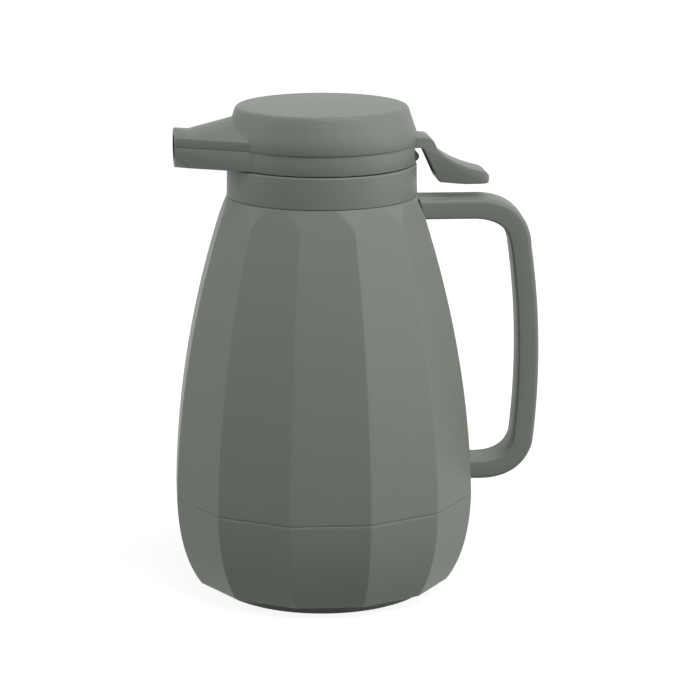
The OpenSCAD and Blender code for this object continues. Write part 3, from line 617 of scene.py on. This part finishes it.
class Finishes:
    """All materials of the carafe."""

    def __init__(self) -> None:
        """Builds the shared groups and each material."""
        effects = Effects()
        sage = dict(color=SAGE, rubbed=SAGE_RUBBED)
        self.body = MouldedPlastic("Sage plastic, body", shift=0.0, **sage).build(effects)
        self.base = MouldedPlastic("Sage plastic, base", shift=0.31, **sage).build(effects)
        self.handle = MouldedPlastic("Sage plastic, handle", shift=0.57, **sage).build(effects)
        self.lid = MouldedPlastic("Sage plastic, lid", shift=0.83, **sage).build(effects)
        self.white = MouldedPlastic(
            "Natural plastic", (0.66, 0.66, 0.61), (0.70, 0.70, 0.66), roughness=0.35,
            reflectance=0.5).build(effects)
        self.rubber = MouldedPlastic(
            "Foot rubber", (0.035, 0.036, 0.036), (0.06, 0.06, 0.06), roughness=0.7,
            grain_size=1800.0, grain_depth=0.00008, bump=0.4, reflectance=0.35).build(effects)
        self.silicone = MouldedPlastic(
            "Seal silicone", (0.40, 0.41, 0.40), (0.46, 0.47, 0.46), roughness=0.5,
            grain_size=1500.0, reflectance=0.4, sheen=0.1).build(effects)
        self.steel = TurnedMetal("Screw steel", (0.62, 0.62, 0.61)).build(effects)
        self.glass = TurnedMetal(
            "Silvered flask glass", (0.80, 0.81, 0.80), roughness=0.05, gloss_spread=0.03,
            line_size=400.0, coat=1.0, bump=0.05).build(effects)
        LOG.info("finishes: %d materials", len(bpy.data.materials))


# Body: faceted shell, base cup and collar


@dataclass(frozen=True)
class Levels:
    """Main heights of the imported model, in millimetres."""

    foot: float
    seam: float
    shell_top: float
    collar_top: float

    @classmethod
    def from_frame(cls) -> "Levels":
        """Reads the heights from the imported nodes."""
        shell_low, shell_high = node_box("outer_shell")
        return cls(
            foot=node_box("base_cup")[0].z,
            seam=shell_low.z,
            shell_top=shell_high.z,
            collar_top=node_box("neck_collar")[1].z)


@dataclass
class FacetedBody:
    """The faceted shell and the base cup under it."""

    finishes: Finishes
    levels: Levels
    facets: int = 12
    belly_r: float = 76.1
    side_lean: float = 1.5
    shoulder_corner_r: float = 48.5
    shoulder_r: float = 46.9
    shoulder_slope: float = 0.49
    mouth_r: float = 42.0
    wall: float = 2.4
    bottom_corner_r: float = 63.7
    bottom_z: float = 6.5
    turn_r: float = 75.2
    turn_drop: float = 29.5
    foot_r: float = 52.5
    pad_t: float = 2.0
    spigot_gap: float = 1.5
    spigot_h: float = 5.5
    corner_round: float = 0.36
    arch_round: float = 0.16
    arch_h: float = 16.5
    crease_soft: float = 1.2
    least_crease: float = 0.02
    seam_round: float = 0.35
    seam_shares: tuple[float, ...] = (1.0, 0.55, 0.2, 0.0)
    seam_stretch: float = 1.2
    floor_hole_r: float = 6.0
    spigot_band: float = 4.0

    def __post_init__(self) -> None:
        """Works out the heights and radii that follow from the frame."""
        self.seam_z = self.levels.seam
        self.top_z = self.levels.shell_top
        self.foot_z = self.levels.foot
        self.base_turn = (self.turn_r, self.seam_z - self.turn_drop)
        flat = self.belly_r * math.cos(self.half_sector())
        self.spigot_r = flat - self.wall - self.spigot_gap
        self.spigot_top_z = self.seam_z + self.spigot_h

    def half_sector(self) -> float:
        """Half the angle of a facet, in radians."""
        return math.pi / self.facets

    def shell_flat(self, z: float) -> float:
        """Distance from the axis to the shell's flat side at a height."""
        t = (z - self.seam_z) / (self.top_z - self.seam_z)
        corner = (
            (1 - t) ** 2 * self.belly_r
            + 2 * t * (1 - t) * (self.belly_r - self.side_lean)
            + t * t * self.shoulder_corner_r)
        return corner * math.cos(self.half_sector())

    def shoulder(self, z: float) -> float:
        """Radius of the round shoulder at a height."""
        return self.shoulder_r + self.shoulder_slope * (self.top_z - z)

    def ring(self, z: float, flat: float, shoulder: float, inset: float = 0.0) -> list[Vector]:
        """The outline at a height: flat sides, soft corners and the round shoulder.

        Args:
            z: Height.
            flat: Distance from the axis to the flat sides.
            shoulder: Radius of the round that trims the corners.
            inset: How far the outline is moved inwards.

        Returns:
            The points of the outline, from the middle of the side at +X.
        """
        half = self.half_sector()
        flat -= inset
        shoulder -= inset
        arch = math.acos(flat / shoulder) if shoulder > flat else self.least_crease
        crease = max(self.least_crease, min(half, arch))
        soft = min(self.crease_soft / flat, 0.5 * crease)
        before = crease - soft
        after = min(crease + soft, half - 0.25 * soft)
        angles = [before * i / 5 for i in range(5)]
        angles += [before + (after - before) * i / 5 for i in range(6)]
        angles += [after + (half - after) * i / 4 for i in range(1, 4)]
        one_side = angles + [half] + [2 * half - a for a in reversed(angles)][:-1]
        points = []
        for f in range(self.facets):
            for a in one_side:
                side_a = flat / math.cos(a)
                side_b = flat / math.cos(2 * half - a)
                r = self.softest(side_a, side_b, self.corner_round)
                r = self.softest(r, shoulder, self.arch_round)
                turn = a + 2 * half * f
                points.append(Vector((r * math.cos(turn), r * math.sin(turn), z)))
        return points

    @staticmethod
    def softest(a: float, b: float, blend: float) -> float:
        """The lesser of two radii, rounded off where they are nearly the same."""
        h = max(blend - abs(a - b), 0.0) / blend
        return min(a, b) - h * h * blend / 4

    def circle(self, z: float, r: float) -> list[Vector]:
        """A round outline whose points match those of ring()."""
        match = self.ring(z, self.shell_flat(self.seam_z), 10 * self.belly_r)
        return [Vector((p.x, p.y, 0)).normalized() * r + Vector((0, 0, z)) for p in match]

    def circles(self, *steps: Point) -> list[list[Vector]]:
        """Round outlines at steps of (height, radius)."""
        return [self.circle(z, r) for z, r in steps]

    def shell_rings(self) -> list[list[Vector]]:
        """Outlines of the shell: outside up, over the mouth, and inside down."""
        rings = []
        r = self.seam_round
        for share in self.seam_shares:
            z = self.seam_z + r * (1 - share) * self.seam_stretch
            rings.append(self.ring(z, self.shell_flat(z), self.shoulder(z), r * share ** 1.5))
        low_z = self.seam_z + 1.5
        arch_z = self.top_z - self.arch_h
        last_z = self.top_z - 0.25
        heights = [low_z + (arch_z - low_z) * i / 24 for i in range(24)]
        heights += [arch_z + (last_z - arch_z) * i / 30 for i in range(31)]
        rings += [self.ring(z, self.shell_flat(z), self.shoulder(z)) for z in heights]
        inner_z = self.top_z - self.wall
        rings += self.circles(
            (self.top_z, self.shoulder_r - 0.35),
            (self.top_z, self.mouth_r + 0.3),
            (self.top_z - 0.3, self.mouth_r),
            (inner_z, self.mouth_r))
        socket_z = self.seam_z + 7
        for i in range(13):
            z = inner_z + (socket_z - inner_z) * i / 12
            rings.append(self.ring(z, self.shell_flat(z), self.shoulder(z), self.wall))
        socket_r = self.spigot_r + 0.1
        return rings + self.circles((socket_z, socket_r), (self.seam_z, socket_r))

    def base_flats(self, steps: int) -> list[Point]:
        """Points (corner radius, height) of the base from its lower edge to the seam."""
        return curve(
            (self.bottom_corner_r, self.bottom_z), self.base_turn,
            (self.belly_r, self.seam_z), steps)

    def base_rings(self) -> list[list[Vector]]:
        """Outlines of the base cup: outside down, under the foot, and inside up."""
        share = math.cos(self.half_sector())
        far = 10 * self.belly_r
        rings = []
        r = self.seam_round
        for part in self.seam_shares:
            z = self.seam_z - r * (1 - part) * self.seam_stretch
            rings.append(self.ring(z, self.belly_r * share, far, r * part ** 1.5))
        outside = self.base_flats(30)
        for corner_r, z in reversed(outside[1:-1]):
            rings.append(self.ring(z, corner_r * share, far))
        edge = self.bottom_corner_r * share
        rings.append(self.ring(self.bottom_z + 0.35, edge + 0.2, far))
        rings.append(self.ring(self.bottom_z + 0.1, edge - 0.05, far))
        rings.append(self.ring(self.bottom_z, edge - 0.5, far))
        recess_r = self.foot_r - self.wall
        floor_z = self.pad_t + self.wall
        inner_z = self.bottom_z + self.wall
        # Under the base, down the foot, over the pad and the floor above it
        rings += self.circles(
            (self.bottom_z - 0.05, edge - 1.2),
            (self.bottom_z - 0.9, edge - 3.0),
            (self.bottom_z - 0.9, self.foot_r + 0.8),
            (self.bottom_z - 1.2, self.foot_r + 0.15),
            (self.bottom_z - 1.7, self.foot_r),
            (self.foot_z + 0.7, self.foot_r),
            (self.foot_z + 0.2, self.foot_r - 0.25),
            (self.foot_z, self.foot_r - 0.8),
            (self.foot_z, recess_r + 0.2),
            (self.foot_z + 0.2, recess_r),
            (self.pad_t, recess_r),
            (self.pad_t, self.floor_hole_r),
            (floor_z, self.floor_hole_r),
            (floor_z, recess_r),
            (inner_z, recess_r))
        band_z = self.seam_z - self.spigot_band
        for corner_r, z in self.base_flats(14):
            if inner_z + 0.6 < z < band_z - 0.5:
                rings.append(self.ring(z, corner_r * share, far, self.wall))
        return rings + self.circles(
            (band_z, self.spigot_r - self.wall),
            (self.spigot_top_z, self.spigot_r - self.wall),
            (self.spigot_top_z, self.spigot_r - 0.3),
            (self.spigot_top_z - 0.3, self.spigot_r),
            (self.seam_z, self.spigot_r))

    def build(self) -> None:
        """Makes the shell and the base cup."""
        shell = lofted(self.shell_rings(), loop=True)
        make_piece("faceted_shell", shell, Body.CARAFE, self.finishes.body,
                   ["outer_shell"], crease=35.0)
        base = lofted(self.base_rings(), loop=True)
        make_piece("faceted_base", base, Body.CARAFE, self.finishes.base,
                   ["base_cup"], crease=35.0)


@dataclass
class NeckCollar:
    """The smooth collar with the screw socket for the lid."""

    finishes: Finishes
    levels: Levels
    outer_r: float = 47.1
    draft: float = 0.3
    socket_r: float = 41.0
    socket_depth: float = 6.5
    spigot_r: float = 41.9
    spigot_l: float = 6.2
    bead: float = 0.7
    room_r: float = 38.6
    bore_r: float = 33.6
    flange_t: float = 2.7
    shell_wall: float = 2.4
    edge: float = 1.0

    def build(self) -> None:
        """Makes the collar."""
        low_z = self.levels.shell_top
        top_z = self.levels.collar_top
        foot_z = low_z - self.spigot_l
        seat_z = low_z - self.shell_wall
        floor_z = top_z - self.socket_depth
        flange_z = floor_z - self.flange_t
        profile = rounded([
            (self.room_r, foot_z, 0),
            (self.spigot_r - self.bead, foot_z, 0),
            (self.spigot_r + self.bead, seat_z - 1.6, 0.3),
            (self.spigot_r + self.bead, seat_z - 0.1, 0),
            (self.spigot_r, seat_z - 0.1, 0),
            (self.spigot_r, low_z, 0),
            (self.outer_r, low_z, 0.5),
            (self.outer_r - self.draft, top_z, self.edge),
            (self.socket_r, top_z, 0.6),
            (self.socket_r, floor_z, 0.4),
            (self.bore_r, floor_z, 0.5),
            (self.bore_r, flange_z, 0.3),
            (self.room_r, flange_z, 0),
        ], steps=5)
        make_piece("smooth_collar", spun(profile, 180), Body.CARAFE,
                   self.finishes.body, ["neck_collar"], crease=40.0)


# Handle


@dataclass
class LoopHandle:
    """The loop handle with a cover strip on its finger side."""

    finishes: Finishes
    body: FacetedBody
    width: float = 23.0
    reach: float = 107.38
    upper_drop: float = 6.65
    lower_rise: float = 10.45
    upper_t: float = 10.0
    grip_t: float = 10.2
    lower_t: float = 9.5
    swell: float = 0.1
    bow: float = 3.4
    top_set: float = 3.7
    low_set: float = 2.2
    upper_bend: Point = (23.0, 20.3)
    lower_bend: Point = (22.0, 14.4)
    upper_pull: float = 1.4
    lower_pull: float = 4.2
    upper_bend_t: float = 11.7
    lower_bend_t: float = 10.2
    outer_round: float = 2.4
    inner_round: float = 1.2
    wall: float = 2.2
    seat_depth: float = 1.8
    gap: float = 0.1

    def __post_init__(self) -> None:
        """Works out the arms' heights and the seat of the cover."""
        self.upper_z = self.body.top_z - self.upper_drop
        self.lower_z = self.body.seam_z + self.lower_rise
        self.seat_half_w = self.width / 2 - self.wall

    def stations(self, gap: float) -> list[tuple[float, float, float]]:
        """Stations (x, z, thickness) along the handle's middle line.

        Args:
            gap: Distance of the two ends from the body's flat side.

        Returns:
            The stations from the upper arm to the lower arm.
        """
        mid_x = self.reach - self.grip_t / 2
        top_x = mid_x - self.top_set
        low_x = mid_x - self.low_set
        grip_top = self.upper_z - self.upper_bend[1]
        grip_low = self.lower_z + self.lower_bend[1]
        end_t = self.grip_t - self.swell
        line = [(self.body.shell_flat(self.upper_z) + gap, self.upper_z, self.upper_t)]
        line += curve(
            (top_x - self.upper_bend[0], self.upper_z, self.upper_t),
            (top_x - self.upper_pull, self.upper_z, self.upper_bend_t),
            (top_x, grip_top, end_t), 16)
        line += curve(
            (top_x, grip_top, end_t),
            (mid_x + self.bow, (grip_top + grip_low) / 2, self.grip_t + self.swell),
            (low_x, grip_low, end_t + self.swell), 16)[1:-1]
        line += curve(
            (low_x, grip_low, end_t + self.swell),
            (low_x - self.lower_pull, self.lower_z, self.lower_bend_t),
            (low_x - self.lower_bend[0], self.lower_z, self.lower_t), 16)
        line.append((self.body.shell_flat(self.lower_z) + gap, self.lower_z, self.lower_t))
        return line

    def sweep(self, line: Sequence[tuple[float, float, float]],
              section: Sequence[tuple[float, int, float]]) -> Form:
        """Carries a section along the handle's line.

        Args:
            line: Stations (x, z, thickness).
            section: Points (y, side, depth), with the depth measured from the
                outer face where side is 1 and from the finger side where it is -1.

        Returns:
            The swept form, closed at both ends.
        """
        rings = []
        last = len(line) - 1
        for i, (x, z, thick) in enumerate(line):
            a = line[max(i - 1, 0)]
            b = line[min(i + 1, last)]
            along = Vector((b[0] - a[0], b[1] - a[1])).normalized()
            normal = Vector((-along.y, along.x))
            lean = 0.0
            if i in (0, last):
                lean = (self.body.shell_flat(z - 1) - self.body.shell_flat(z + 1)) / 2
            ring = []
            for y, side, depth in section:
                v = side * (thick / 2 - depth)
                ring.append(Vector((
                    x + normal.x * v - lean * normal.y * v, y, z + normal.y * v)))
            rings.append(ring)
        return lofted(rings)

    def corner(self, y: float, r: float, side: int, start: float, end: float,
               base: float = 0.0, steps: int = 6) -> list[tuple[float, int, float]]:
        """Section points of a rounded corner whose middle is at y."""
        points = []
        for i in range(steps + 1):
            a = math.radians(start + (end - start) * i / steps)
            points.append((y + r * math.cos(a), side, base + r - side * r * math.sin(a)))
        return points

    def bar_section(self) -> list[tuple[float, int, float]]:
        """Section of the handle with the seat for its cover."""
        half = self.width / 2
        ri, ro = self.inner_round, self.outer_round
        lip = 0.35
        seat = self.seat_half_w
        right = [
            (seat, -1, self.seat_depth),
            (seat, -1, lip),
            (seat + 0.1, -1, 0.1),
            (seat + lip, -1, 0.0),
        ]
        right += self.corner(half - ri, ri, -1, -90, 0)
        right += self.corner(half - ro, ro, 1, 0, 90)
        return right + [(-y, side, depth) for y, side, depth in reversed(right)]

    def cover_section(self) -> list[tuple[float, int, float]]:
        """Section of the cover strip, with soft edges."""
        half = self.seat_half_w - self.gap
        right = [
            (half, -1, self.seat_depth - self.gap),
            (half, -1, 0.35),
            (half - 0.1, -1, 0.1),
            (half - 0.35, -1, 0.0),
        ]
        return right + [(-y, side, depth) for y, side, depth in reversed(right)]

    def build(self) -> None:
        """Makes the handle and its cover."""
        bar = self.sweep(self.stations(self.gap), self.bar_section())
        make_piece("loop_handle", bar, Body.CARAFE, self.finishes.handle,
                   ["handle_shell"], crease=40.0)
        cover = self.sweep(self.stations(3 * self.gap), self.cover_section())
        make_piece("finger_cover", cover, Body.CARAFE, self.finishes.handle,
                   ["handle_cover"], crease=40.0)


# Lid, spout and lever


@dataclass
class ScrewLid:
    """The lid's two shells with the closed spout."""

    finishes: Finishes
    soft_edge: float = 0.35
    skin_low_z: float = 215.0
    skin_r: float = 45.5
    top_z: float = 243.0

    def outside(self, place: Vector) -> bool:
        """Whether a place is on the outer skin of the lid."""
        r = math.hypot(place.x, place.y)
        return place.z > self.skin_low_z and (r > self.skin_r or place.z > self.top_z)

    def build(self) -> None:
        """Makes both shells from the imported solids, with soft outer edges."""
        for node in ("lid_base", "lid_cap"):
            form = cad_form(node)
            soften(form, self.soft_edge, 25.0, self.outside)
            make_piece(f"{node}_skin", form, Body.LID, self.finishes.lid,
                       [node], crease=24.0, recalculate=False)


@dataclass
class ThumbLever:
    """The thumb piece that opens the valve."""

    finishes: Finishes
    soft_edge: float = 0.6
    wall_x: float = 47.0

    def build(self) -> None:
        """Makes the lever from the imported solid, with soft outer edges."""
        form = cad_form("thumb_lever")
        soften(form, self.soft_edge, 35.0, lambda place: place.x > self.wall_x)
        make_piece("thumb_lever_skin", form, Body.LEVER, self.finishes.lid,
                   ["thumb_lever"], crease=24.0, recalculate=False)


# Valve and flask


@dataclass
class ValveSpring:
    """The coil spring round the valve stem."""

    finishes: Finishes
    wire_r: float = 0.5
    turns: float = 4.5

    def build(self) -> None:
        """Makes the coil at the packed spring's length."""
        low, high = node_box("valve_spring")
        coil_r = high.x - self.wire_r
        low_z = low.z + self.wire_r
        high_z = high.z - self.wire_r
        rings = []
        steps = int(self.turns * 36)
        for i in range(steps + 1):
            a = math.tau * self.turns * i / steps
            z = low_z + (high_z - low_z) * i / steps
            ring = []
            for k in range(12):
                b = math.tau * k / 12
                r = coil_r + self.wire_r * math.cos(b)
                ring.append(Vector((
                    r * math.cos(a), r * math.sin(a), z + self.wire_r * math.sin(b))))
            rings.append(ring)
        coil = make_piece("coil_spring", lofted(rings), Body.LID,
                          self.finishes.steel, ["valve_spring"], crease=60.0)
        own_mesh(coil)


def dress_inner_parts(finishes: Finishes) -> None:
    """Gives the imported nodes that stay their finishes.

    Args:
        finishes: All materials.
    """
    plan = {
        "foot_pad": finishes.rubber,
        "flask_cushion": finishes.rubber,
        "rim_gasket": finishes.silicone,
        "lid_gasket": finishes.silicone,
        "plug_seal": finishes.silicone,
        "valve_seal": finishes.silicone,
        "flask_liner": finishes.glass,
        "flask_jacket": finishes.glass,
        "flask_spacers": finishes.white,
        "valve_disc": finishes.white,
        "handle_screws": finishes.steel,
        "lid_screws": finishes.steel,
        "lever_pin": finishes.steel,
        "valve_stem": finishes.steel,
        "stem_clip": finishes.steel,
    }
    for node, finish in plan.items():
        dress_node(node, finish)


# Studio


@dataclass(frozen=True)
class Lamp:
    """A soft lamp, placed by its direction as the camera sees the object."""

    name: str
    turn: float
    rise: float
    distance: float
    wide: float
    tall: float
    power: float


@dataclass
class Studio:
    """White floor, soft lamps and the camera."""

    azimuth: float = -3.6
    pitch: float = 12.94
    distance: float = 1.5855
    slide: float = 0.0139
    aim_z: float = 0.12195
    lens: float = 163.1
    floor_r: float = 9.0
    floor_bounce: float = 0.35
    floor_shade: float = 0.3
    near_glow: float = 0.9
    shadow_reach: float = 0.12
    white_from: float = 0.6
    lamps: tuple[Lamp, ...] = (
        Lamp("key", 38.0, 58.0, 1.6, 1.2, 1.2, 17.8),
        Lamp("right", 80.0, 15.0, 1.6, 1.0, 1.4, 8.4),
        Lamp("left", -85.0, 20.0, 1.6, 1.0, 1.6, 8.2),
        Lamp("back_left", -120.0, 30.0, 1.6, 1.0, 1.6, 1.4),
    )

    def back(self) -> Vector:
        """Direction from the object to the camera."""
        a, e = math.radians(self.azimuth), math.radians(self.pitch)
        return Vector((math.sin(a) * math.cos(e), -math.cos(a) * math.cos(e), math.sin(e)))

    def build_camera(self) -> None:
        """Sets the camera at the photograph's angle."""
        a = math.radians(self.azimuth)
        right = Vector((math.cos(a), math.sin(a), 0))
        back = self.back()
        up = back.cross(right)
        data = bpy.data.cameras.new("camera")
        data.sensor_width = 36.0
        data.lens = self.lens
        camera = bpy.data.objects.new("camera", data)
        turn = Matrix((right, up, back)).transposed().to_4x4()
        place = Vector((0, 0, self.aim_z)) + back * self.distance + right * self.slide
        camera.matrix_world = Matrix.Translation(place) @ turn
        bpy.context.scene.collection.objects.link(camera)
        bpy.context.scene.camera = camera

    def build_lamps(self) -> None:
        """Places the lamps round the object."""
        aim = Vector((0, 0, self.aim_z))
        for lamp in self.lamps:
            a = math.radians(self.azimuth + lamp.turn)
            e = math.radians(lamp.rise)
            out = Vector((math.sin(a) * math.cos(e), -math.cos(a) * math.cos(e), math.sin(e)))
            data = bpy.data.lights.new(lamp.name, "AREA")
            data.shape = "RECTANGLE"
            data.size = lamp.wide
            data.size_y = lamp.tall
            data.energy = lamp.power
            light = bpy.data.objects.new(lamp.name, data)
            light.matrix_world = (
                Matrix.Translation(aim + out * lamp.distance)
                @ out.to_track_quat("Z", "Y").to_matrix().to_4x4())
            bpy.context.scene.collection.objects.link(light)

    def background_ray(self, board: NodeBoard) -> bpy.types.NodeSocket:
        """A mask of 1 for rays of the camera, reflections and glass.

        Args:
            board: Board of the material or world.

        Returns:
            The mask's socket.
        """
        path = board.add("LightPath")
        seen = board.math(
            "MAXIMUM", path.outputs["Is Camera Ray"], path.outputs["Is Glossy Ray"])
        return board.math("MAXIMUM", seen, path.outputs["Is Transmission Ray"])

    def build_world(self) -> None:
        """A world that looks white and leaves the light to the lamps."""
        world = bpy.data.worlds.new("studio")
        bpy.context.scene.world = world
        world.use_nodes = True
        board = NodeBoard(world.node_tree)
        light = board.add("Background", Color=(1.0, 1.0, 1.0, 1.0))
        board.join(self.background_ray(board), light.inputs["Strength"])
        output = board.add("OutputWorld")
        board.join(light.outputs[0], output.inputs["Surface"])

    def build_floor(self) -> None:
        """A pale floor that looks white and keeps the object's shadow."""
        form = bmesh.new()
        bmesh.ops.create_circle(form, cap_ends=True, segments=96, radius=self.floor_r)
        mesh = bpy.data.meshes.new("floor")
        form.to_mesh(mesh)
        form.free()
        floor = bpy.data.objects.new("floor", mesh)
        bpy.context.scene.collection.objects.link(floor)
        material = bpy.data.materials.new("White floor")
        material.use_nodes = True
        board = NodeBoard(material.node_tree)
        lit = board.add("BsdfDiffuse", Color=(*[self.floor_bounce] * 3, 1.0))
        pale = board.add("BsdfDiffuse", Color=(*[self.floor_shade] * 3, 1.0))
        white = board.add("Emission", Color=(1.0, 1.0, 1.0, 1.0))
        place = board.add("TexCoord")
        away = board.add("VectorMath", operation="LENGTH")
        board.join(place.outputs["Object"], away.inputs[0])
        glow = board.add("MapRange", From_Min=self.shadow_reach, From_Max=self.white_from,
                         To_Min=self.near_glow, To_Max=1.0)
        board.join(away.outputs["Value"], glow.inputs["Value"])
        board.join(glow.outputs["Result"], white.inputs["Strength"])
        both = board.add("AddShader")
        board.join(pale.outputs[0], both.inputs[0])
        board.join(white.outputs[0], both.inputs[1])
        mix = board.add("MixShader")
        board.join(self.background_ray(board), mix.inputs["Fac"])
        board.join(lit.outputs[0], mix.inputs[1])
        board.join(both.outputs[0], mix.inputs[2])
        output = board.add("OutputMaterial")
        board.join(mix.outputs[0], output.inputs["Surface"])
        mesh.materials.append(material)

    def build(self) -> None:
        """Builds the floor, the world, the lamps and the camera."""
        self.build_floor()
        self.build_world()
        self.build_lamps()
        self.build_camera()
        bpy.context.scene.view_settings.view_transform = "Standard"
        LOG.info("studio: %d lamps", len(self.lamps))


def main() -> None:
    """Builds the carafe's pieces in order, then the studio round it."""
    logging.basicConfig(level=logging.INFO, format="%(name)s: %(message)s")
    finishes = Finishes()
    levels = Levels.from_frame()
    body = FacetedBody(finishes, levels)
    body.build()
    NeckCollar(finishes, levels).build()
    LoopHandle(finishes, body).build()
    ScrewLid(finishes).build()
    ThumbLever(finishes).build()
    ValveSpring(finishes).build()
    dress_inner_parts(finishes)
    Studio().build()


if __name__ == "__main__":
    main()
